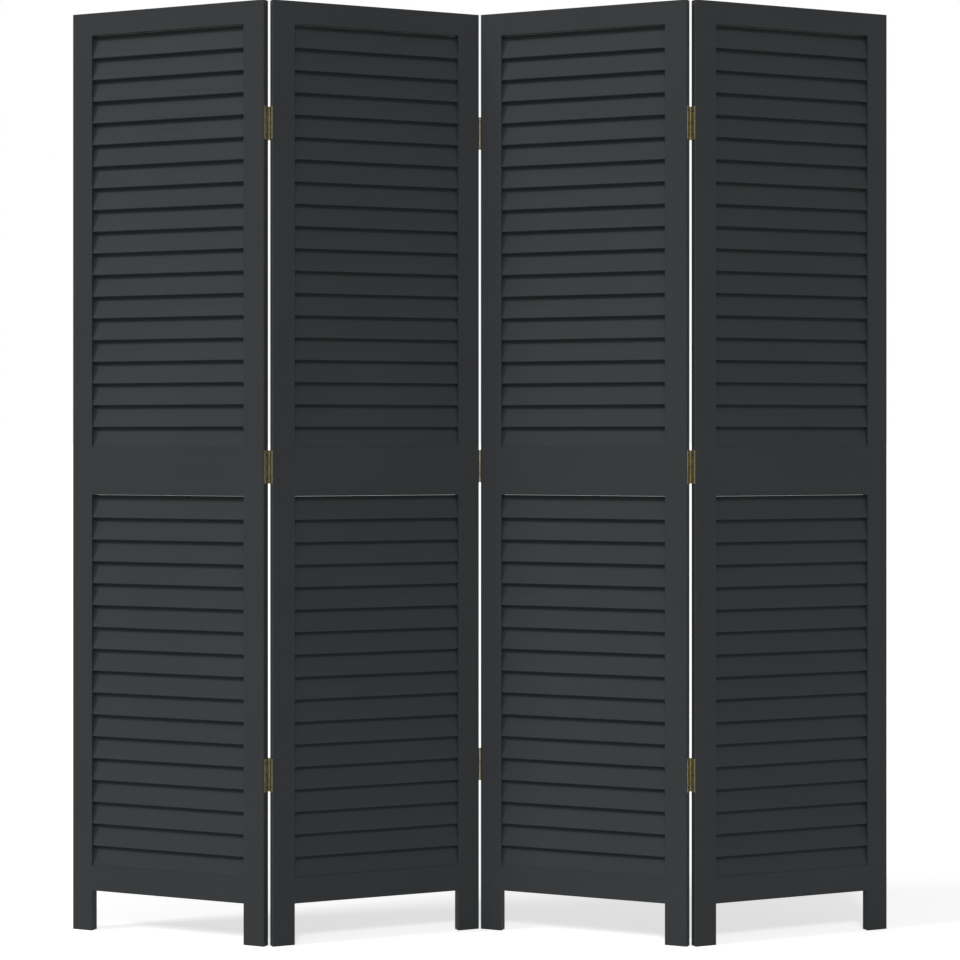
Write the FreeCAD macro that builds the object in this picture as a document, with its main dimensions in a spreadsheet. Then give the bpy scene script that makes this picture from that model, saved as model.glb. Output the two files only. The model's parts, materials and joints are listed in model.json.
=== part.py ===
import FreeCAD, Part
import os
import Sketcher

# A louvred folding screen: framed panels stand in a zigzag and fold on butt hinges.
# Frame: +X to the viewer's right, +Y away from the viewer, +Z up, origin on the floor under the middle.
# Each panel is drawn in its own frame, with its lower left front corner at the origin and its width along X,
# and is then turned and moved to its place in the zigzag.

# Driving dimensions, in millimetres and degrees
SIZES = {
    # Each panel's wooden frame
    "panel_width": 400.0,
    "panel_height": 1700.0,
    "panel_thickness": 17.0,
    "stile_width": 41.4,
    "edge_round": 1.6,
    "leg_height": 74.4,
    "bottom_rail_height": 46.4,
    "lower_opening": 687.2,
    "middle_rail_height": 88.8,
    "top_rail_height": 41.0,
    "fold_angle": 22.3,
    # Fixed louvres, the mortises that hold their ends and the grooves that hold the lowest ones
    "louvre_spacing": 40.3,
    "louvre_width": 43.4,
    "louvre_thickness": 5.0,
    "louvre_round": 1.2,
    "louvre_tilt": 13.0,
    "louvre_top_gap": 0.25,
    "groove_depth": 4.6,
    "groove_clearance": 0.2,
    "mortise_depth": 8.0,
    "mortise_end_clearance": 0.5,
    # Dowels between rails and stiles
    "dowel_diameter": 8.0,
    "dowel_length": 40.0,
    "dowel_inset": 10.5,
    "middle_dowel_inset": 22.0,
    "dowel_side_clearance": 0.05,
    "dowel_end_clearance": 1.0,
    # Butt hinges on the panels' edges
    "hinge_length": 60.0,
    "hinge_top_drop": 220.6,
    "hinge_middle_rise": 52.8,
    "hinge_bottom_height": 306.6,
    "leaf_thickness": 1.0,
    "leaf_gap": 0.3,
    "leaf_margin": 2.0,
    "pin_diameter": 2.0,
    "pin_clearance": 0.05,
    "knuckle_wall": 0.8,
    "knuckle_gap": 0.3,
    "barrel_clearance": 0.3,
    "folded_gap": 1.5,
    # Countersunk screws through the hinge leaves
    "screw_spacing": 21.5,
    "screw_head_diameter": 5.0,
    "screw_shank_diameter": 3.0,
    "screw_tip_diameter": 1.0,
    "screw_tip_length": 3.0,
    "screw_length": 16.0,
    "screw_clearance": 0.05,
}

# Sides of a panel: signs along its width, and along its thickness for the face where a hinge pin stands
LEFT = -1
RIGHT = 1
FRONT = -1
BACK = 1

# Pin side of each fold, from left to right: the screen closes like an accordion
FOLDS = (BACK, FRONT, BACK)
PANEL_COUNT = len(FOLDS) + 1

# Knuckles of a hinge, counted upwards from 0: the even ones are on the left leaf, the odd ones on the right
KNUCKLE_COUNT = 5
SCREWS_PER_LEAF = 3

# Points closer than this are the same point
TOLERANCE = 0.001

# Expressions that several pieces share: the frame
MID_THICKNESS = "(sizes.panel_thickness / 2)"
RAIL_LENGTH = "(sizes.panel_width - 2 * sizes.stile_width)"
OUTER_FACE = {LEFT: "0", RIGHT: "sizes.panel_width"}
INNER_FACE = {LEFT: "sizes.stile_width", RIGHT: "(sizes.panel_width - sizes.stile_width)"}
STILE_MIDDLE = {LEFT: "(sizes.stile_width / 2)", RIGHT: "(sizes.panel_width - sizes.stile_width / 2)"}
LOWER_OPENING_BASE = "(sizes.leg_height + sizes.bottom_rail_height)"
MIDDLE_RAIL_BASE = f"({LOWER_OPENING_BASE} + sizes.lower_opening)"
UPPER_OPENING_BASE = f"({MIDDLE_RAIL_BASE} + sizes.middle_rail_height)"
TOP_RAIL_BASE = "(sizes.panel_height - sizes.top_rail_height)"
UPPER_OPENING = f"({TOP_RAIL_BASE} - {UPPER_OPENING_BASE})"

# Name, foot and height of each rail, and its dowels' distance from its edges
RAILS = (
    ("bottom_rail", "sizes.leg_height", "sizes.bottom_rail_height", "sizes.dowel_inset"),
    ("middle_rail", MIDDLE_RAIL_BASE, "sizes.middle_rail_height", "sizes.middle_dowel_inset"),
    ("top_rail", TOP_RAIL_BASE, "sizes.top_rail_height", "sizes.dowel_inset"),
)

# Name, foot and height of each opening that louvres fill, and the rail that holds its lowest louvre
OPENINGS = (
    ("lower_louvres", LOWER_OPENING_BASE, "sizes.lower_opening", "bottom_rail"),
    ("upper_louvres", UPPER_OPENING_BASE, UPPER_OPENING, "middle_rail"),
)

# Expressions that several pieces share: louvres and dowels
LOUVRE_LEAN = "(sizes.louvre_tilt * 1 deg)"
LOUVRE_RISE = (f"(sizes.louvre_width * cos({LOUVRE_LEAN})"
               f" + sizes.louvre_thickness * sin({LOUVRE_LEAN}))")
LOUVRE_REACH = "(sizes.mortise_depth - sizes.mortise_end_clearance)"
LOUVRE_LENGTH = f"({RAIL_LENGTH} + 2 * {LOUVRE_REACH})"
GROOVE_WIDTH = "(sizes.louvre_thickness + 2 * sizes.groove_clearance)"
GROOVE_HEIGHT = "(sizes.louvre_width + 2 * sizes.groove_clearance)"
DOWEL_HOLE = "(sizes.dowel_diameter + 2 * sizes.dowel_side_clearance)"
DOWEL_HOLE_DEPTH = "(sizes.dowel_length / 2 + sizes.dowel_end_clearance)"

# Expressions that several pieces share: hinges and screws
PANEL_GAP = "(2 * sizes.leaf_thickness + sizes.leaf_gap)"
BORE_DIAMETER = "(sizes.pin_diameter + 2 * sizes.pin_clearance)"
BARREL_DIAMETER = f"({BORE_DIAMETER} + 2 * sizes.knuckle_wall)"
BARREL_ROOM = f"({BARREL_DIAMETER} + 2 * sizes.barrel_clearance)"
KNUCKLE_LENGTH = f"((sizes.hinge_length - {KNUCKLE_COUNT - 1} * sizes.knuckle_gap) / {KNUCKLE_COUNT})"
KNUCKLE_STEP = f"({KNUCKLE_LENGTH} + sizes.knuckle_gap)"
# The pin stands outside the panel's face: its barrel clears the rounded edge, and folded panels stay apart
PIN_OFFSET = (f"max(sizes.folded_gap / 2; sqrt(({BARREL_ROOM} / 2 + sizes.edge_round)^2"
              f" - ({PANEL_GAP} / 2 + sizes.edge_round)^2) - sizes.edge_round)")
LEAF_FACE = f"({PANEL_GAP} / 2 - sizes.leaf_thickness)"
LEAF_REACH = f"({PIN_OFFSET} + sizes.panel_thickness - sizes.leaf_margin)"
LEAF_HOLE_PLACE = f"({PIN_OFFSET} + {MID_THICKNESS})"
HINGES = (
    ("bottom", "sizes.hinge_bottom_height"),
    ("middle", f"({MIDDLE_RAIL_BASE} + sizes.hinge_middle_rise)"),
    ("top", "(sizes.panel_height - sizes.hinge_top_drop)"),
)
SCREW_HOLE = "(sizes.screw_shank_diameter + 2 * sizes.screw_clearance)"
SCREW_SINK = "(sizes.screw_head_diameter + 2 * sizes.screw_clearance)"
SCREW_GRIP = "(sizes.screw_length - sizes.leaf_thickness)"
HEAD_TAPER = "-atan((sizes.screw_head_diameter - sizes.screw_shank_diameter) / 2 / sizes.leaf_thickness)"
TIP_TAPER = "-atan((sizes.screw_shank_diameter - sizes.screw_tip_diameter) / 2 / sizes.screw_tip_length)"


def louvre_run(opening):
    """Height from the lowest louvre to the highest one."""
    return f"({opening} + sizes.groove_depth - {LOUVRE_RISE} - sizes.louvre_top_gap)"


def louvre_count(opening):
    return f"(round({louvre_run(opening)} / sizes.louvre_spacing) + 1)"


def louvre_step(opening):
    return f"({louvre_run(opening)} / ({louvre_count(opening)} - 1))"


def louvre_middle(base):
    """Height of the lowest louvre's middle."""
    return f"({base} - sizes.groove_depth + {LOUVRE_RISE} / 2)"


def dowel_heights(base, height, inset):
    return [f"({base} + {inset})", f"({base} + {height} - {inset})"]


def screw_heights(centre):
    middle = (SCREWS_PER_LEAF - 1) / 2
    return [f"({centre} + {number - middle} * sizes.screw_spacing)" for number in range(SCREWS_PER_LEAF)]


def hinge_screw_heights():
    return [height for name, centre in HINGES for height in screw_heights(centre)]


def knuckle_base(number):
    return f"(-sizes.hinge_length / 2 + {number} * {KNUCKLE_STEP})"


# The sheet, and the sketches and features that pieces are made of

def make_sheet(doc):
    sheet = doc.addObject("Spreadsheet::Sheet", "sizes")
    for row, (name, value) in enumerate(SIZES.items(), start=1):
        sheet.set(f"A{row}", name)
        sheet.set(f"B{row}", str(value))
        sheet.setAlias(f"B{row}", name)
    doc.recompute()
    return sheet


def amount(owner, expression):
    """The number that an expression has now."""
    result = owner.evalExpression(expression)
    return float(getattr(result, "Value", result))


def new_body(doc, label, placement):
    body = doc.addObject("PartDesign::Body", label)
    body.Label = label
    body.Placement = placement
    return body


def origin_feature(body, role):
    return next(feature for feature in body.Origin.OriginFeatures if feature.Role == role)


def new_sketch(body, name, plane, offset, turn="0"):
    """An empty sketch on one of the body's own planes, shifted and turned by expressions."""
    sketch = body.newObject("Sketcher::SketchObject", name)
    sketch.AttachmentSupport = (origin_feature(body, plane), [""])
    sketch.MapMode = "FlatFace"
    for axis, expression in zip("xyz", offset):
        sketch.setExpression("AttachmentOffset.Base." + axis, expression)
    sketch.setExpression("AttachmentOffset.Rotation.Angle", turn)
    return sketch


def add_dimension(sketch, expression, *reference):
    number = sketch.addConstraint(Sketcher.Constraint(*reference, amount(sketch, expression)))
    sketch.setExpression(f"Constraints[{number}]", expression)


def draw_rectangle(sketch, width, height):
    """A rectangle about the sketch's origin."""
    x = amount(sketch, width) / 2
    y = amount(sketch, height) / 2
    corners = [FreeCAD.Vector(-x, -y), FreeCAD.Vector(x, -y), FreeCAD.Vector(x, y), FreeCAD.Vector(-x, y)]
    for number, start in enumerate(corners):
        sketch.addGeometry(Part.LineSegment(start, corners[(number + 1) % 4]), False)
    for number in range(4):
        sketch.addConstraint(Sketcher.Constraint("Coincident", number, 2, (number + 1) % 4, 1))
        sketch.addConstraint(Sketcher.Constraint("Vertical" if number % 2 else "Horizontal", number))
    sketch.addConstraint(Sketcher.Constraint("Symmetric", 0, 1, 1, 2, -1, 1))
    add_dimension(sketch, width, "DistanceX", 0, 1, 0, 2)
    add_dimension(sketch, height, "DistanceY", 1, 1, 1, 2)


def draw_circles(sketch, diameter, heights=("0",)):
    """Circles of one diameter, one above the other from the sketch's origin."""
    for height in heights:
        middle = FreeCAD.Vector(0, amount(sketch, height))
        shape = Part.Circle(middle, FreeCAD.Vector(0, 0, 1), amount(sketch, diameter) / 2)
        circle = sketch.addGeometry(shape, False)
        add_dimension(sketch, diameter, "Diameter", circle)
        sketch.addConstraint(Sketcher.Constraint("PointOnObject", circle, 3, -2))
        if height == "0":
            sketch.addConstraint(Sketcher.Constraint("PointOnObject", circle, 3, -1))
        else:
            add_dimension(sketch, height, "DistanceY", -1, 1, circle, 3)


def add_swept(body, kind, name, sketch, length, reverse, taper):
    feature = body.newObject("PartDesign::" + kind, name)
    feature.Profile = sketch
    feature.Reversed = reverse
    feature.setExpression("Length", length)
    feature.setExpression("TaperAngle", taper)
    return feature


def add_pad(body, name, sketch, length, reverse=False, taper="0 deg"):
    """Adds the sketch's outline along its normal, or against it."""
    return add_swept(body, "Pad", name, sketch, length, reverse, taper)


def add_pocket(body, name, sketch, length, reverse=False, taper="0 deg"):
    """Cuts the sketch's outline against its normal, or along it."""
    return add_swept(body, "Pocket", name, sketch, length, reverse, taper)


def add_row(body, name, features, step, count):
    """Repeats some features upwards, or the whole piece if none are given."""
    row = body.newObject("PartDesign::LinearPattern", name)
    if features:
        row.Originals = features
    else:
        row.TransformMode = "Whole shape"
    row.Direction = (origin_feature(body, "Z_Axis"), [""])
    row.Mode = "Spacing"
    row.setExpression("Offset", step)
    row.setExpression("Occurrences", count)
    body.Tip = row


def add_rounds(body, name, feature, radius, direction, place=None):
    """Rounds a feature's edges that run along a direction, all of them or those at one x."""
    body.Document.recompute()
    names = []
    for number, edge in enumerate(feature.Shape.Edges, start=1):
        along = edge.tangentAt(edge.FirstParameter).cross(direction).Length < TOLERANCE
        if along and (place is None or abs(edge.CenterOfMass.x - place) < TOLERANCE):
            names.append(f"Edge{number}")
    rounds = body.newObject("PartDesign::Fillet", name)
    rounds.Base = (feature, names)
    rounds.setExpression("Radius", radius)
    body.Document.recompute()


# Wooden pieces of one panel

def make_stile(doc, label, placement, side, hinged):
    """An upright with a leg at its foot, mortised for the louvres and bored for dowels and hinge screws."""
    body = new_body(doc, label, placement)
    section = new_sketch(body, "stile_section", "XY_Plane", (STILE_MIDDLE[side], MID_THICKNESS, "0"))
    draw_rectangle(section, "sizes.stile_width", "sizes.panel_thickness")
    post = add_pad(body, "post", section, "sizes.panel_height")
    outer_edges = amount(body, OUTER_FACE[side])
    add_rounds(body, "outer_rounds", post, "sizes.edge_round", FreeCAD.Vector(0, 0, 1), outer_edges)

    for name, base, opening, rail in OPENINGS:
        place = (MID_THICKNESS, louvre_middle(base), INNER_FACE[side])
        outline = new_sketch(body, name + "_outline", "YZ_Plane", place, f"-{LOUVRE_LEAN}")
        draw_rectangle(outline, GROOVE_WIDTH, GROOVE_HEIGHT)
        mortise = add_pocket(body, name + "_mortise", outline, "sizes.mortise_depth", side == RIGHT)
        add_row(body, name + "_mortises", [mortise], louvre_step(opening), louvre_count(opening))

    holes = new_sketch(body, "dowel_circles", "YZ_Plane", (MID_THICKNESS, "0", INNER_FACE[side]))
    for name, base, height, inset in RAILS:
        draw_circles(holes, DOWEL_HOLE, dowel_heights(base, height, inset))
    body.Tip = add_pocket(body, "dowel_holes", holes, DOWEL_HOLE_DEPTH, side == RIGHT)

    if hinged:
        pilots = new_sketch(body, "pilot_circles", "YZ_Plane", (MID_THICKNESS, "0", OUTER_FACE[side]))
        draw_circles(pilots, SCREW_HOLE, hinge_screw_heights())
        depth = f"({SCREW_GRIP} + sizes.screw_clearance)"
        body.Tip = add_pocket(body, "pilot_holes", pilots, depth, side == LEFT)
    return body


def make_rail(doc, label, placement, rail):
    """A cross rail, bored for dowels at both ends and grooved on top where it holds a louvre."""
    name, base, height, inset = rail
    body = new_body(doc, label, placement)
    middle = f"({base} + {height} / 2)"
    section = new_sketch(body, "rail_section", "YZ_Plane", (MID_THICKNESS, middle, INNER_FACE[LEFT]))
    draw_rectangle(section, "sizes.panel_thickness", height)
    add_pad(body, "board", section, RAIL_LENGTH)

    for word, side in (("left", LEFT), ("right", RIGHT)):
        holes = new_sketch(body, word + "_circles", "YZ_Plane", (MID_THICKNESS, "0", INNER_FACE[side]))
        draw_circles(holes, DOWEL_HOLE, dowel_heights(base, height, inset))
        add_pocket(body, word + "_dowel_holes", holes, DOWEL_HOLE_DEPTH, side == LEFT)

    for opening_name, opening_base, opening, holder in OPENINGS:
        if holder == name:
            place = (MID_THICKNESS, louvre_middle(opening_base), INNER_FACE[LEFT])
            outline = new_sketch(body, "groove_outline", "YZ_Plane", place, f"-{LOUVRE_LEAN}")
            draw_rectangle(outline, GROOVE_WIDTH, GROOVE_HEIGHT)
            add_pocket(body, "louvre_groove", outline, RAIL_LENGTH, True)
    return body


def make_louvres(doc, label, placement, base, opening):
    """Tilted slats with eased edges: the lower edge of each is at the front."""
    body = new_body(doc, label, placement)
    start = f"({INNER_FACE[LEFT]} - {LOUVRE_REACH})"
    place = (MID_THICKNESS, louvre_middle(base), start)
    section = new_sketch(body, "louvre_section", "YZ_Plane", place, f"-{LOUVRE_LEAN}")
    draw_rectangle(section, "sizes.louvre_thickness", "sizes.louvre_width")
    slat = add_pad(body, "slat", section, LOUVRE_LENGTH)
    add_rounds(body, "slat_rounds", slat, "sizes.louvre_round", FreeCAD.Vector(1, 0, 0))
    add_row(body, "slats", [], louvre_step(opening), louvre_count(opening))
    return body


def make_dowels(doc, label, placement):
    """The pegs across the joints between the rails and both stiles."""
    body = new_body(doc, label, placement)
    for word, side in (("left", LEFT), ("right", RIGHT)):
        start = f"({INNER_FACE[side]} - sizes.dowel_length / 2)"
        circles = new_sketch(body, word + "_circles", "YZ_Plane", (MID_THICKNESS, "0", start))
        for name, base, height, inset in RAILS:
            draw_circles(circles, "sizes.dowel_diameter", dowel_heights(base, height, inset))
        add_pad(body, word + "_pegs", circles, "sizes.dowel_length")
    return body


def make_panel(doc, number, placement):
    name = f"panel_{number + 1}"
    hinged = {LEFT: number > 0, RIGHT: number < PANEL_COUNT - 1}
    nodes = [make_stile(doc, f"{name}_left_stile", placement, LEFT, hinged[LEFT]),
             make_stile(doc, f"{name}_right_stile", placement, RIGHT, hinged[RIGHT])]
    nodes += [make_rail(doc, f"{name}_{rail[0]}", placement, rail) for rail in RAILS]
    for opening_name, base, opening, holder in OPENINGS:
        nodes.append(make_louvres(doc, f"{name}_{opening_name}", placement, base, opening))
    nodes.append(make_dowels(doc, f"{name}_dowels", placement))
    nodes.append(make_screws(doc, f"{name}_hinge_screws", placement, hinged))
    return nodes


# Hinges

def make_screws(doc, label, placement, hinged):
    """The countersunk screws of one panel's hinge leaves, their heads flush with the leaves."""
    body = new_body(doc, label, placement)
    for word, side in (("left", LEFT), ("right", RIGHT)):
        if not hinged[side]:
            continue
        inwards = -side
        leaf = "sizes.leaf_thickness"
        shank = "sizes.screw_shank_diameter"
        straight = f"({SCREW_GRIP} - sizes.screw_tip_length)"
        stations = (
            ("heads", "sizes.screw_head_diameter", f"-{leaf}", leaf, HEAD_TAPER),
            ("shanks", shank, "0", straight, "0 deg"),
            ("tips", shank, straight, "sizes.screw_tip_length", TIP_TAPER),
        )
        for part_name, diameter, depth, length, taper in stations:
            start = f"({OUTER_FACE[side]} + {inwards} * {depth})"
            circles = new_sketch(body, f"{word}_{part_name}_circles", "YZ_Plane", (MID_THICKNESS, "0", start))
            draw_circles(circles, diameter, hinge_screw_heights())
            add_pad(body, f"{word}_{part_name}", circles, length, side == RIGHT, taper)
    return body


def make_leaf(doc, label, placement, first_knuckle):
    """A hinge leaf in its pin's frame: the pin along Z, the panel's edge towards +X, the plate along +Y."""
    body = new_body(doc, label, placement)
    outline = new_sketch(body, "plate_outline", "YZ_Plane", (f"({LEAF_REACH} / 2)", "0", LEAF_FACE))
    draw_rectangle(outline, LEAF_REACH, "sizes.hinge_length")
    add_pad(body, "plate", outline, "sizes.leaf_thickness")

    own = range(first_knuckle, KNUCKLE_COUNT, 2)
    other = range(1 - first_knuckle, KNUCKLE_COUNT, 2)
    room_base = f"({knuckle_base(other[0])} - sizes.knuckle_gap)"
    room = new_sketch(body, "room_circle", "XY_Plane", ("0", "0", room_base))
    draw_circles(room, BARREL_ROOM)
    notch = add_pocket(body, "notch", room, f"({KNUCKLE_LENGTH} + 2 * sizes.knuckle_gap)", True)
    add_row(body, "notches", [notch], f"(2 * {KNUCKLE_STEP})", str(len(other)))

    barrel = new_sketch(body, "barrel_circle", "XY_Plane", ("0", "0", knuckle_base(own[0])))
    draw_circles(barrel, BARREL_DIAMETER)
    knuckle = add_pad(body, "knuckle", barrel, KNUCKLE_LENGTH)
    add_row(body, "knuckles", [knuckle], f"(2 * {KNUCKLE_STEP})", str(len(own)))

    bore = new_sketch(body, "bore_circle", "XY_Plane", ("0", "0", "(sizes.hinge_length / 2)"))
    draw_circles(bore, BORE_DIAMETER)
    body.Tip = add_pocket(body, "bore", bore, "sizes.hinge_length")

    sinks = new_sketch(body, "sink_circles", "YZ_Plane", (LEAF_HOLE_PLACE, "0", LEAF_FACE))
    draw_circles(sinks, SCREW_SINK, screw_heights("0"))
    body.Tip = add_pocket(body, "screw_holes", sinks, "sizes.leaf_thickness", True, HEAD_TAPER)
    return body


def make_pins(doc, label, placement):
    """The pins of one fold's hinges, one above the other."""
    body = new_body(doc, label, placement)
    for name, centre in HINGES:
        foot = f"({centre} - sizes.hinge_length / 2)"
        circle = new_sketch(body, name + "_circle", "XY_Plane", ("0", "0", foot))
        draw_circles(circle, "sizes.pin_diameter")
        add_pad(body, name + "_pin", circle, "sizes.hinge_length")
    return body


def leaf_turn(side, pin_side):
    """Turns a leaf to its edge: a leaf is alike above and below its middle, so it may be turned over."""
    axes = {
        (LEFT, FRONT): FreeCAD.Vector(0, 0, 0),
        (LEFT, BACK): FreeCAD.Vector(1, 0, 0),
        (RIGHT, FRONT): FreeCAD.Vector(0, 1, 0),
        (RIGHT, BACK): FreeCAD.Vector(0, 0, 1),
    }
    axis = axes[side, pin_side]
    return FreeCAD.Rotation(axis, 180) if axis.Length else FreeCAD.Rotation()


def make_fold(doc, sheet, number, panels, pin_place):
    """Three hinges between a panel and the next one."""
    name = f"fold_{number + 1}"
    pin_side = FOLDS[number]
    nodes = [make_pins(doc, f"{name}_hinge_pins", FreeCAD.Placement(pin_place, FreeCAD.Rotation()))]
    for hinge, centre in HINGES:
        height = FreeCAD.Vector(0, 0, amount(sheet, centre))
        for word, side, panel, first_knuckle in (("left", RIGHT, panels[number], 0),
                                                 ("right", LEFT, panels[number + 1], 1)):
            local = FreeCAD.Placement(pin_point(sheet, side, pin_side) + height, leaf_turn(side, pin_side))
            label = f"{name}_{hinge}_hinge_{word}_leaf"
            nodes.append(make_leaf(doc, label, panel.multiply(local), first_knuckle))
    return nodes


# Places of the panels and pins

def pin_point(sheet, side, pin_side):
    """A hinge pin's foot in its panel's frame."""
    half_gap = amount(sheet, PANEL_GAP) / 2
    offset = amount(sheet, PIN_OFFSET)
    x = -half_gap if side == LEFT else sheet.panel_width + half_gap
    y = -offset if pin_side == FRONT else sheet.panel_thickness + offset
    return FreeCAD.Vector(x, y, 0)


def stand_panels(sheet):
    """Places of the panels and their pins, with the origin in the middle of the box around the panels."""
    upright = FreeCAD.Vector(0, 0, 1)
    turns = [FreeCAD.Rotation(upright, -pin_side * sheet.fold_angle) for pin_side in FOLDS]
    turns.append(FreeCAD.Rotation(upright, FOLDS[-1] * sheet.fold_angle))
    panels = [FreeCAD.Placement(FreeCAD.Vector(), turns[0])]
    pins = []
    for number, pin_side in enumerate(FOLDS):
        pins.append(panels[-1].multVec(pin_point(sheet, RIGHT, pin_side)))
        turn = turns[number + 1]
        corner = pins[-1] - turn.multVec(pin_point(sheet, LEFT, pin_side))
        panels.append(FreeCAD.Placement(corner, turn))

    box = FreeCAD.BoundBox()
    inset = sheet.edge_round
    for panel in panels:
        for x in (inset, sheet.panel_width - inset):
            for y in (inset, sheet.panel_thickness - inset):
                box.add(panel.multVec(FreeCAD.Vector(x, y, 0)))
    shift = FreeCAD.Vector(box.Center.x, box.Center.y, 0)
    for panel in panels:
        panel.Base = panel.Base - shift
    return panels, [pin - shift for pin in pins]


# The whole screen

def check(doc, nodes):
    """Stops if a feature failed, a cut removed nothing or a piece is not a sound solid."""
    for item in doc.Objects:
        if {"Invalid", "Error"} & set(item.State):
            raise RuntimeError(f"{item.Label} did not build")
        if item.TypeId == "PartDesign::Pocket":
            removed = item.BaseFeature.Shape.Volume - item.Shape.Volume
            if removed < TOLERANCE:
                raise RuntimeError(f"{item.Label} cuts nothing")
    for node in nodes:
        if node.Shape.isNull() or not node.Shape.isValid() or not node.Shape.Solids:
            raise RuntimeError(f"{node.Label} is not a sound solid")


def build():
    doc = FreeCAD.newDocument("folding_screen")
    sheet = make_sheet(doc)
    panels, pins = stand_panels(sheet)
    nodes = []
    for number, panel in enumerate(panels):
        nodes += make_panel(doc, number, panel)
    for number, pin in enumerate(pins):
        nodes += make_fold(doc, sheet, number, panels, pin)
        print(f"fold {number + 1} pin at x {pin.x:.4f} y {pin.y:.4f}")
    doc.recompute()
    check(doc, nodes)

    os.makedirs("parts", exist_ok=True)
    for node in nodes:
        node.Shape.exportStep(f"parts/{node.Label}.step")


build()
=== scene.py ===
import json
import math

import bmesh
import bpy
from mathutils import Matrix, Vector


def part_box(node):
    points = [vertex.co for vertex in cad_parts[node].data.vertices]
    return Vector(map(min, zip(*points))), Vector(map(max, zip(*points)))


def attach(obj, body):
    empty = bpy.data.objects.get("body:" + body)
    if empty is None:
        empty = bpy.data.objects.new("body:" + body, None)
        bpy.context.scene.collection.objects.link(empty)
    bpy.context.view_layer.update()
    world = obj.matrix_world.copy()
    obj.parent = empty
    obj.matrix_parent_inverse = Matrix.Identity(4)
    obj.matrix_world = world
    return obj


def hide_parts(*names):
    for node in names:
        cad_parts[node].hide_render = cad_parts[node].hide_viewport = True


# A louvred folding screen in dark grey satin paint, with antique brass butt hinges.
# Metres, in the frame of the solids: +X to the viewer's right, +Y away from the viewer, +Z up.
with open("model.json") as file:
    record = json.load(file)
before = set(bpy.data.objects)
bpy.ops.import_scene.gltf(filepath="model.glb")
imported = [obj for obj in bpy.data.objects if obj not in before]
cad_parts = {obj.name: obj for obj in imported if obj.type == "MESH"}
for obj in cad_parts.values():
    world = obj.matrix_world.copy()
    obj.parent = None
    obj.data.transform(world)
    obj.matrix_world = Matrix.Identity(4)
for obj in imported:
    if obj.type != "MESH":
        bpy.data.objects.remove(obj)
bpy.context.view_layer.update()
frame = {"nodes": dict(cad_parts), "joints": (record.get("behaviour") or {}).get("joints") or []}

# Panels and their wooden pieces, by the names of the solids
PANELS = ("panel_1", "panel_2", "panel_3", "panel_4")
UPRIGHT_PIECES = ("left_stile", "right_stile")
CROSS_PIECES = ("top_rail", "middle_rail", "bottom_rail", "upper_louvres", "lower_louvres")

# Camera: where its axis meets the square picture, in pixels
PICTURE_SIDE = 960
HORIZON_ROW = 438.33
MIDDLE_COLUMN = 479.84
# Its distance from the middle fold and its height
CAMERA_DISTANCE = 4.2548
CAMERA_HEIGHT = 0.91234
# Its lens and sensor, in millimetres
CAMERA_LENS = 85.774
SENSOR_WIDTH = 36.0

# Colours, linear
PAINT = (0.0441, 0.0468, 0.0488)
PAINT_PALE = (0.0478, 0.0506, 0.0528)
# Paint's edges, lighter: partly worn paint and partly a painted highlight where they catch light
PAINT_WEAR_AND_HIGHLIGHT = (0.085, 0.088, 0.09)
BRASS = (0.365, 0.325, 0.185)
BRASS_TARNISHED = (0.22, 0.193, 0.1)
# Brass edges: rubbed bright, and painted lighter as a highlight too
BRASS_RUBBED_AND_HIGHLIGHT = (0.52, 0.465, 0.29)
STEEL = (0.06, 0.052, 0.036)
STEEL_DARKENED = (0.035, 0.031, 0.023)
STEEL_RUBBED = (0.2, 0.18, 0.13)
BEECH = (0.62, 0.45, 0.27)
BEECH_FLECKS = (0.45, 0.3, 0.16)
FLOOR = (0.8, 0.8, 0.8)
WHITE = (1.0, 1.0, 1.0)

# Noise patterns: spots to a metre, levels of finer spots, and each level's strength against the one before
GROWTH_BANDS = (95.0, 3.0, 0.55)
FIBRES = (900.0, 3.0, 0.6)
CLOUDS = (5.0, 2.0, 0.5)
ORANGE_PEEL = (700.0, 1.0, 0.5)
WEAR_AND_HIGHLIGHT_PATCHES = (40.0, 2.0, 0.5)
SHEEN_PATCHES = (160.0, 2.0, 0.5)
BRUSHED_LINES = (2500.0, 2.0, 0.5)
TARNISH_PATCHES = (160.0, 4.0, 0.6)

# Wood's grain is much longer than wide, and so are the lines of brushed brass
GRAIN_STRETCH = 0.03
GRAIN_ALONG = {"upright": (1.0, 1.0, GRAIN_STRETCH), "cross": (GRAIN_STRETCH, 1.0, 1.0)}
BRUSHED_UPWARDS = (1.0, 1.0, 0.02)
NOT_BRUSHED = (1.0, 1.0, 1.0)

# The span of a share
WHOLE = (0.0, 1.0)
# Spans of a noise that a look makes use of: its values lie round a half, and a narrow span adds contrast
NOISE_SPAN = (0.3, 0.7)
TONE_SPAN = (0.35, 0.65)
WEAR_AND_HIGHLIGHT_SPAN = (0.35, 0.7)
TARNISH_SPAN = (0.38, 0.62)
FLECK_SPAN = (0.4, 0.7)

# Edges: how alike a face's own direction and its eased one are, away from an edge and on it
EDGE_LIKENESS = (0.98, 0.75)
EDGE_SAMPLES = 6

# Satin paint: what its tone is made of, its wear and painted highlight on edges, its finish and the heights
# of its relief
BAND_SHARE = 0.45
CLOUD_SHARE = 0.55
WEAR_AND_HIGHLIGHT_REACH = 0.0012
WEAR_AND_HIGHLIGHT_STRENGTH = 0.45
PAINT_ROUGHNESS = (0.46, 0.56)
PAINT_GLOSS = 0.05
BAND_RELIEF = 0.00008
FIBRE_RELIEF = 0.00004
PEEL_RELIEF = 0.00002

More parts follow.
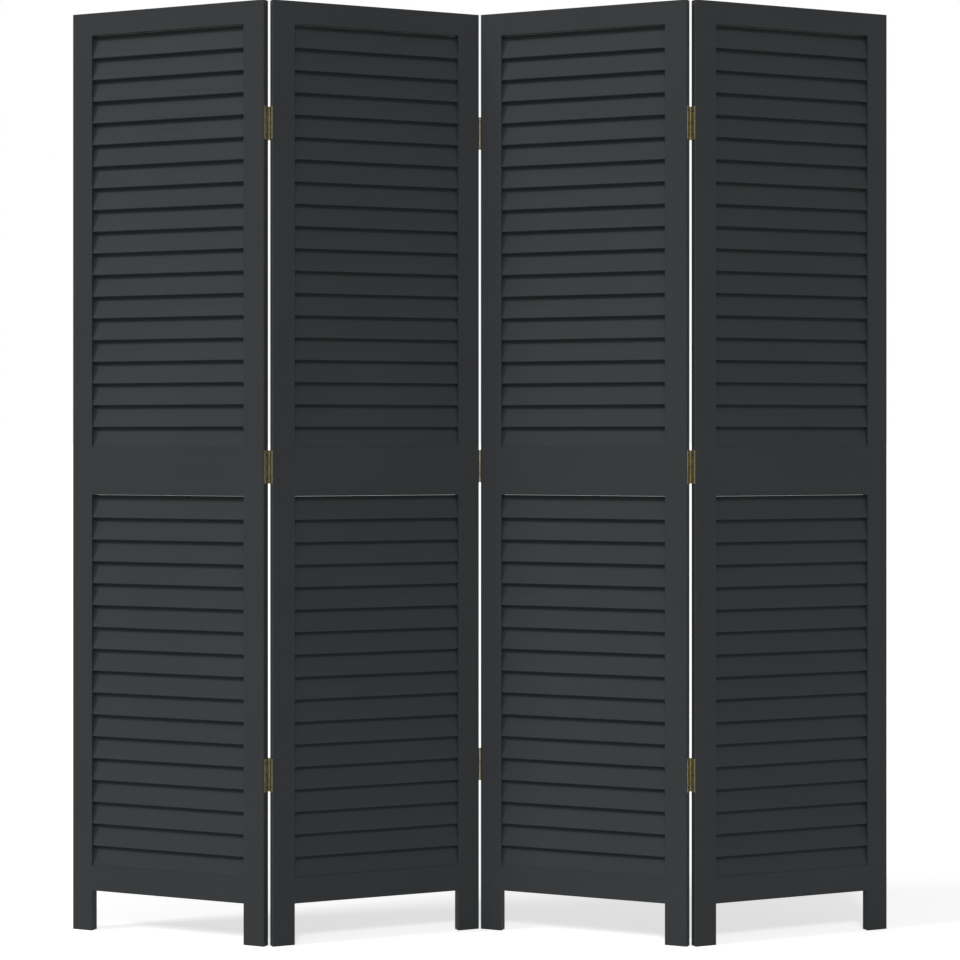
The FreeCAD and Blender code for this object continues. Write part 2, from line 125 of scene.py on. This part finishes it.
# Aged metal: its edges, rubbed bright and painted lighter as a highlight, its finish where bright and where
# dull, and the heights of its relief
RUBBED_AND_HIGHLIGHT_REACH = 0.0004
RUBBED_AND_HIGHLIGHT_STRENGTH = 0.7
BRASS_ROUGHNESS = (0.36, 0.5)
STEEL_ROUGHNESS = (0.35, 0.5)
METALLIC_SHARE = (0.7, 0.4)
METAL_GLOSS = 0.2
LINE_RELIEF = 0.00001
TARNISH_RELIEF = 0.00002

# Bare beech: its finish and the height of its relief
BEECH_ROUGHNESS = (0.5, 0.7)
FLECK_RELIEF = 0.00005

# Cross-head screws, of the same size as the solids that they stand for
SCREW_LENGTH = 0.016
SHANK_RADIUS = 0.0015
TIP_RADIUS = 0.0005
TIP_LENGTH = 0.003
# The head widens a little from its face to its rim, and tapers from there to the shank
HEAD_RADIUS = 0.0025
HEAD_HEIGHT = 0.001
HEAD_LAND = 0.00012
HEAD_EASE = 0.0001
# The thread's ridge rises from its root to the shank's radius, over a share of its pitch
THREAD_START = 0.003
THREAD_PITCH = 0.0015
ROOT_RADIUS = 0.0011
RIDGE_SHARE = 0.5
RINGS_PER_TURN = 4
# The cross narrows towards its floor
CROSS_REACH = 0.00135
CROSS_HALF_WIDTH = 0.00036
CROSS_DEPTH = 0.00085
CROSS_FLOOR_SHARE = 0.5
SHARP_ANGLE = math.radians(35)
# One screw's points follow each other in height more closely than this, and screws stand further apart
SCREW_APART = 0.005
# Each screw stops at another turn
SCREW_ROLL = math.pi * (3 - math.sqrt(5))

# Soft studio light from far and wide lamps.
# Each has its degrees to the right of the camera, its degrees above the floor and its power.
KEY_LAMP = (-71.0, 40.0, 1.33)
FRONT_LAMP = (0.0, 40.0, 0.88)
LAMP_WIDTH = math.radians(12)
# The white room's strength as a light, and the floor's reach to each side and its own glow where it is seen
ROOM_LIGHT = 0.266
FLOOR_REACH = 400.0
FLOOR_GLOW = 0.6


# Places read from the frame

def middle(node):
    low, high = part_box(node)
    return (low + high) / 2


def panel_turn(panel):
    """The angle from +X to the panel's width."""
    along = middle(panel + "_right_stile") - middle(panel + "_left_stile")
    return math.atan2(along.y, along.x)


# Nodes of materials

def set_input(tree, socket, value):
    if isinstance(value, bpy.types.NodeSocket):
        tree.links.new(value, socket)
    else:
        socket.default_value = value


def add_node(tree, kind, settings=None, **inputs):
    """A node whose inputs are plain values or other nodes' outputs."""
    node = tree.nodes.new("ShaderNode" + kind)
    for name, value in (settings or {}).items():
        setattr(node, name, value)
    for name, value in inputs.items():
        set_input(tree, node.inputs[name.replace("_", " ")], value)
    return node


def combine(tree, operation, first, second):
    node = add_node(tree, "Math", {"operation": operation})
    set_input(tree, node.inputs[0], first)
    set_input(tree, node.inputs[1], second)
    return node.outputs["Value"]


def remap(tree, value, span, new_span=WHOLE):
    """A value moved from one span to another, and held within it."""
    low, high = span
    new_low, new_high = new_span
    node = add_node(tree, "MapRange", Value=value, From_Min=low, From_Max=high,
                    To_Min=new_low, To_Max=new_high)
    return node.outputs["Result"]


def mix_colours(tree, share, first, second):
    node = add_node(tree, "Mix", {"data_type": "RGBA"}, Factor=share)
    sockets = [socket for socket in node.inputs if socket.type == "RGBA"]
    for socket, colour in zip(sockets, (first, second)):
        set_input(tree, socket, colour if isinstance(colour, bpy.types.NodeSocket) else (*colour, 1.0))
    return next(socket for socket in node.outputs if socket.type == "RGBA")


def noise(tree, place, pattern):
    scale, detail, roughness = pattern
    node = add_node(tree, "TexNoise", Vector=place, Scale=scale, Detail=detail, Roughness=roughness)
    return node.outputs["Fac"]


def stretched(tree, place, scale):
    return add_node(tree, "Mapping", Vector=place, Scale=scale).outputs["Vector"]


def panel_place(tree, turn):
    """Points in a panel's own directions, its width along X."""
    place = add_node(tree, "TexCoord").outputs["Object"]
    return add_node(tree, "Mapping", Vector=place, Rotation=(0.0, 0.0, -turn)).outputs["Vector"]


def edge_share(tree, radius):
    """1 on sharp edges, falling to 0 within a radius of them."""
    flat = add_node(tree, "NewGeometry").outputs["Normal"]
    eased = add_node(tree, "Bevel", {"samples": EDGE_SAMPLES}, Radius=radius).outputs["Normal"]
    likeness = add_node(tree, "VectorMath", {"operation": "DOT_PRODUCT"})
    tree.links.new(flat, likeness.inputs[0])
    tree.links.new(eased, likeness.inputs[1])
    return remap(tree, likeness.outputs["Value"], EDGE_LIKENESS)


def add_bump(tree, height, distance, under=None):
    """A relief of that height in metres, laid over another one if given."""
    node = add_node(tree, "Bump", Height=height, Distance=distance, Strength=1.0)
    if under is not None:
        tree.links.new(under, node.inputs["Normal"])
    return node.outputs["Normal"]


def new_material(name):
    material = bpy.data.materials.new(name)
    material.use_nodes = True
    return material, material.node_tree, material.node_tree.nodes["Principled BSDF"]


# Materials

def make_paint(name, turn, grain):
    """Satin paint on wood: growth bands and fibres show faintly through it, and its edges are painted
    lighter, partly as wear and partly as a painted highlight.
    """
    material, tree, shader = new_material(name)
    place = panel_place(tree, turn)
    along = stretched(tree, place, GRAIN_ALONG[grain])
    bands = noise(tree, along, GROWTH_BANDS)
    fibres = noise(tree, along, FIBRES)
    clouds = noise(tree, place, CLOUDS)
    peel = noise(tree, place, ORANGE_PEEL)

    band_tone = combine(tree, "MULTIPLY", bands, BAND_SHARE)
    cloud_tone = combine(tree, "MULTIPLY", clouds, CLOUD_SHARE)
    tone = combine(tree, "ADD", band_tone, cloud_tone)
    coat = mix_colours(tree, remap(tree, tone, TONE_SPAN), PAINT, PAINT_PALE)
    # Edges painted lighter in patches: partly wear, partly a painted highlight where they catch light
    patches = remap(tree, noise(tree, place, WEAR_AND_HIGHLIGHT_PATCHES), WEAR_AND_HIGHLIGHT_SPAN, (0.0, WEAR_AND_HIGHLIGHT_STRENGTH))
    wear_and_highlight = combine(tree, "MULTIPLY", edge_share(tree, WEAR_AND_HIGHLIGHT_REACH), patches)
    tree.links.new(mix_colours(tree, wear_and_highlight, coat, PAINT_WEAR_AND_HIGHLIGHT), shader.inputs["Base Color"])
    sheen = remap(tree, noise(tree, along, SHEEN_PATCHES), NOISE_SPAN, PAINT_ROUGHNESS)
    tree.links.new(sheen, shader.inputs["Roughness"])
    shader.inputs["Specular IOR Level"].default_value = PAINT_GLOSS

    relief = add_bump(tree, bands, BAND_RELIEF)
    relief = add_bump(tree, fibres, FIBRE_RELIEF, relief)
    relief = add_bump(tree, peel, PEEL_RELIEF, relief)
    tree.links.new(relief, shader.inputs["Normal"])
    return material


def make_metal(name, bright, dull, rubbed_and_highlight, brushing, roughness):
    """Aged metal: brushed or of an even grain, tarnished in patches, and painted lighter on its edges,
    partly as rubbed wear and partly as a painted highlight.
    """
    material, tree, shader = new_material(name)
    place = add_node(tree, "TexCoord").outputs["Object"]
    lines = noise(tree, stretched(tree, place, brushing), BRUSHED_LINES)
    patches = noise(tree, place, TARNISH_PATCHES)

    plate = mix_colours(tree, remap(tree, patches, TARNISH_SPAN), bright, dull)
    # Edges painted lighter: rubbed wear, and a painted highlight on them
    edges = combine(tree, "MULTIPLY", edge_share(tree, RUBBED_AND_HIGHLIGHT_REACH), RUBBED_AND_HIGHLIGHT_STRENGTH)
    tree.links.new(mix_colours(tree, edges, plate, rubbed_and_highlight), shader.inputs["Base Color"])
    tree.links.new(remap(tree, patches, NOISE_SPAN, roughness), shader.inputs["Roughness"])
    tree.links.new(remap(tree, patches, TARNISH_SPAN, METALLIC_SHARE), shader.inputs["Metallic"])
    shader.inputs["Specular IOR Level"].default_value = METAL_GLOSS

    relief = add_bump(tree, lines, LINE_RELIEF)
    relief = add_bump(tree, patches, TARNISH_RELIEF, relief)
    tree.links.new(relief, shader.inputs["Normal"])
    return material


def make_beech(name, turn):
    """Bare turned wood with darker flecks along it."""
    material, tree, shader = new_material(name)
    along = stretched(tree, panel_place(tree, turn), GRAIN_ALONG["cross"])
    flecks = noise(tree, along, FIBRES)
    wood = mix_colours(tree, remap(tree, flecks, FLECK_SPAN), BEECH, BEECH_FLECKS)
    tree.links.new(wood, shader.inputs["Base Color"])
    tree.links.new(remap(tree, flecks, NOISE_SPAN, BEECH_ROUGHNESS), shader.inputs["Roughness"])
    tree.links.new(add_bump(tree, flecks, FLECK_RELIEF), shader.inputs["Normal"])
    return material


def put_material(piece, material):
    piece.data.materials.clear()
    piece.data.materials.append(material)


def dress_panel(panel):
    """Paints a panel's wood, with the grain along each piece, and leaves its dowels bare."""
    turn = panel_turn(panel)
    paints = ((UPRIGHT_PIECES, "upright"), (CROSS_PIECES, "cross"))
    for pieces, grain in paints:
        paint = make_paint(f"{panel}_{grain}_paint", turn, grain)
        for piece in pieces:
            put_material(frame["nodes"][f"{panel}_{piece}"], paint)
    put_material(frame["nodes"][panel + "_dowels"], make_beech(panel + "_beech", turn))


def dress_hinges():
    """Antique brass, brushed along the pins."""
    brass = make_metal("antique_brass", BRASS, BRASS_TARNISHED, BRASS_RUBBED_AND_HIGHLIGHT,
                       BRUSHED_UPWARDS, BRASS_ROUGHNESS)
    for name, node in frame["nodes"].items():
        if name.endswith(("_leaf", "_hinge_pins")):
            put_material(node, brass)


# Cross-head screws

def cross_outline():
    """Angles round a screw that meet the corners of its cross, and the cross's radius at each."""
    quarter_turn = math.pi / 2
    corner = math.atan2(CROSS_HALF_WIDTH, CROSS_REACH)
    between_arms = (math.pi / 6, math.pi / 4, math.pi / 3)
    outline = []
    for quarter in range(4):
        for angle in (0, corner, *between_arms, quarter_turn - corner):
            from_arm = min(angle, quarter_turn - angle)
            to_end = CROSS_REACH / math.cos(from_arm)
            to_side = CROSS_HALF_WIDTH / math.sin(from_arm) if from_arm else to_end
            outline.append((quarter * quarter_turn + angle, min(to_end, to_side)))
    return outline


def thread_radius(depth, angle):
    """A helical ridge round the shank."""
    phase = (depth / THREAD_PITCH - angle / (2 * math.pi)) % 1
    from_crest = abs(phase - 0.5)
    ridge = max(0.0, 1 - 2 * from_crest / RIDGE_SHARE)
    return ROOT_RADIUS + (SHANK_RADIUS - ROOT_RADIUS) * ridge


def screw_rings(outline):
    """Depths and radii of a screw's rings, from the floor of its cross over its head to its tip."""
    cross = [radius for angle, radius in outline]

    def circle(radius):
        return [radius] * len(outline)

    rings = [
        (CROSS_DEPTH, [CROSS_FLOOR_SHARE * radius for radius in cross]),
        (0.0, cross),
        (0.0, circle(HEAD_RADIUS - HEAD_EASE)),
        (HEAD_LAND, circle(HEAD_RADIUS)),
        (HEAD_HEIGHT, circle(SHANK_RADIUS)),
        (THREAD_START - THREAD_PITCH / RINGS_PER_TURN, circle(SHANK_RADIUS)),
    ]
    run = SCREW_LENGTH - TIP_LENGTH - THREAD_START
    count = round(run / THREAD_PITCH * RINGS_PER_TURN)
    for number in range(count + 1):
        depth = THREAD_START + run * number / count
        rings.append((depth, [thread_radius(depth, angle) for angle, radius in outline]))
    rings.append((SCREW_LENGTH, circle(TIP_RADIUS)))
    return rings


def add_screw(mesh, place):
    """A screw whose head's face is at the place's origin and whose tip lies along the place's X."""
    outline = cross_outline()
    loops = []
    for depth, radii in screw_rings(outline):
        loop = []
        for (angle, cross_radius), radius in zip(outline, radii):
            point = Vector((depth, radius * math.cos(angle), radius * math.sin(angle)))
            loop.append(mesh.verts.new(place @ point))
        loops.append(loop)
    for inner, outer in zip(loops, loops[1:]):
        for number, corner in enumerate(inner):
            following = (number + 1) % len(inner)
            mesh.faces.new((corner, outer[number], outer[following], inner[following]))
    mesh.faces.new(loops[0])
    mesh.faces.new(reversed(loops[-1]))


def height_groups(points):
    """Points split where their heights leave a gap."""
    groups = []
    for point in sorted(points, key=lambda point: point.z):
        if groups and point.z - groups[-1][-1].z < SCREW_APART:
            groups[-1].append(point)
        else:
            groups.append([point])
    return groups


def screw_places(panel):
    """Where a panel's screws stand: X runs from the head's face into the wood."""
    turn = Matrix.Rotation(panel_turn(panel), 4, "Z")
    to_panel = turn.inverted()
    centre = (to_panel @ middle(panel + "_top_rail")).x
    points = [to_panel @ vertex.co for vertex in frame["nodes"][panel + "_hinge_screws"].data.vertices]
    places = []
    for inwards, facing in ((1, Matrix.Identity(4)), (-1, Matrix.Rotation(math.pi, 4, "Z"))):
        edge = [point for point in points if (centre - point.x) * inwards > 0]
        for group in height_groups(edge):
            low = Vector([min(point[axis] for point in group) for axis in range(3)])
            high = Vector([max(point[axis] for point in group) for axis in range(3)])
            head = (low + high) / 2
            head.x = low.x if inwards > 0 else high.x
            roll = Matrix.Rotation(SCREW_ROLL * len(places), 4, "X")
            places.append(turn @ Matrix.Translation(head) @ facing @ roll)
    return places


def make_screws(panel, material):
    """All of a panel's screws as one piece, which rides with the panel."""
    mesh = bmesh.new()
    for place in screw_places(panel):
        add_screw(mesh, place)
    bmesh.ops.recalc_face_normals(mesh, faces=mesh.faces)
    data = bpy.data.meshes.new(panel + "_cross_head_screws")
    mesh.to_mesh(data)
    mesh.free()
    data.shade_smooth()
    data.set_sharp_from_angle(angle=SHARP_ANGLE)
    screws = bpy.data.objects.new(panel + "_cross_head_screws", data)
    bpy.context.scene.collection.objects.link(screws)
    put_material(screws, material)
    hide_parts(panel + "_hinge_screws")
    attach(screws, panel)


# Stage, light and camera

def seen_share(tree):
    """1 for what is seen directly, in a gloss or through glass, and 0 for light on surfaces."""
    path = add_node(tree, "LightPath")
    seen = combine(tree, "MAXIMUM", path.outputs["Is Camera Ray"], path.outputs["Is Glossy Ray"])
    return combine(tree, "MAXIMUM", seen, path.outputs["Is Transmission Ray"])


def make_floor():
    """A pale floor that looks white and keeps the shadow."""
    corners = [(x * FLOOR_REACH, y * FLOOR_REACH, 0.0) for x, y in ((-1, -1), (1, -1), (1, 1), (-1, 1))]
    data = bpy.data.meshes.new("floor")
    data.from_pydata(corners, [], [range(len(corners))])
    floor = bpy.data.objects.new("floor", data)
    bpy.context.scene.collection.objects.link(floor)

    material, tree, shader = new_material("pale_floor")
    shader.inputs["Base Color"].default_value = (*FLOOR, 1.0)
    shader.inputs["Roughness"].default_value = 1.0
    shader.inputs["Specular IOR Level"].default_value = 0.0
    shader.inputs["Emission Color"].default_value = (*WHITE, 1.0)
    glow = combine(tree, "MULTIPLY", seen_share(tree), FLOOR_GLOW)
    tree.links.new(glow, shader.inputs["Emission Strength"])
    put_material(floor, material)


def make_world():
    """An even white room: white where it is seen, and dimmer as a light."""
    world = bpy.data.worlds.new("room")
    world.use_nodes = True
    bpy.context.scene.world = world
    tree = world.node_tree
    background = tree.nodes["Background"]
    background.inputs["Color"].default_value = (*WHITE, 1.0)
    strength = remap(tree, seen_share(tree), WHOLE, (ROOM_LIGHT, 1.0))
    tree.links.new(strength, background.inputs["Strength"])


def make_lamp(name, azimuth, elevation, power):
    data = bpy.data.lights.new(name, "SUN")
    data.angle = LAMP_WIDTH
    data.energy = power
    lamp = bpy.data.objects.new(name, data)
    lamp.rotation_euler = (math.radians(90 - elevation), 0.0, math.radians(azimuth))
    bpy.context.scene.collection.objects.link(lamp)


def make_camera():
    """A level camera straight in front of the middle fold."""
    pin = next(joint["pos_m"] for joint in frame["joints"] if joint["name"] == "fold_2")
    data = bpy.data.cameras.new("camera")
    data.sensor_width = SENSOR_WIDTH
    data.lens = CAMERA_LENS
    data.shift_x = (PICTURE_SIDE / 2 - MIDDLE_COLUMN) / PICTURE_SIDE
    data.shift_y = (HORIZON_ROW - PICTURE_SIDE / 2) / PICTURE_SIDE
    camera = bpy.data.objects.new("camera", data)
    camera.location = (pin[0], pin[1] - CAMERA_DISTANCE, CAMERA_HEIGHT)
    camera.rotation_euler = (math.pi / 2, 0.0, 0.0)
    bpy.context.scene.collection.objects.link(camera)
    bpy.context.scene.camera = camera


def main():
    steel = make_metal("dark_steel", STEEL, STEEL_DARKENED, STEEL_RUBBED, NOT_BRUSHED, STEEL_ROUGHNESS)
    for panel in PANELS:
        dress_panel(panel)
        make_screws(panel, steel)
    dress_hinges()
    make_floor()
    make_world()
    make_lamp("key_lamp", *KEY_LAMP)
    make_lamp("front_lamp", *FRONT_LAMP)
    make_camera()
    bpy.context.scene.view_settings.view_transform = "Standard"


main()
